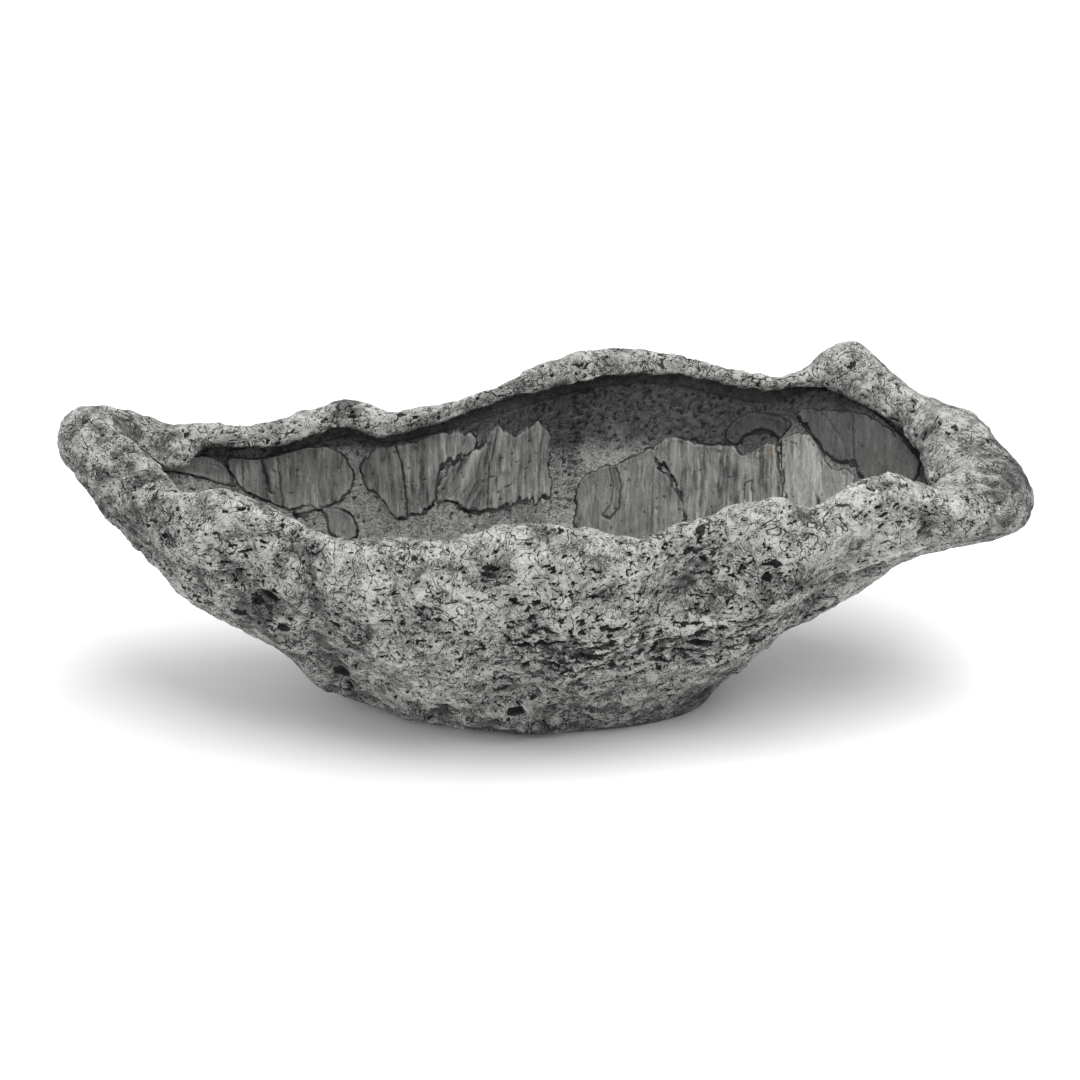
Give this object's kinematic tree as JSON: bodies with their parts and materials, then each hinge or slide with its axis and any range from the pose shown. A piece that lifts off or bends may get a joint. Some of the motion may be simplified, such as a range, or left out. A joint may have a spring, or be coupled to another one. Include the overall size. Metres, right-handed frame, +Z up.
{
  "type": "resin rock bowl",
  "caption": "Hollow boat-shaped bowl of cast resin rock with a rolled, lumpy rim, a flat base, and a stippled lining spread with strokes of paste.",
  "frame": {"origin": "middle of the flat base, at the level of the surface that it stands on", "axes": "+X along the bowl to its blunt end, +Y to the higher side of the rim, +Z up"},
  "size_m": [0.4407, 0.1846, 0.1416],
  "materials": {
    "rock": "cast resin rock, pitted, dark wash rubbed back to pale grey on the high spots",
    "backing": "stippled dark grey resin lining",
    "paste": "smooth grey resin paste with knife streaks"
  },
  "bodies": {
    "root": {"rock_shell": "rock", "backing_coat": "backing", "end_stroke": "paste", "cracked_stroke": "paste", "arched_stroke": "paste", "streaked_stroke": "paste", "grooved_stroke": "paste", "scalloped_stroke": "paste", "round_stroke": "paste", "left_stroke": "paste", "floor_smear": "paste", "leaf_smear": "paste", "near_left_stroke": "paste", "near_middle_stroke": "paste", "near_right_stroke": "paste"}
  },
  "joints": []
}
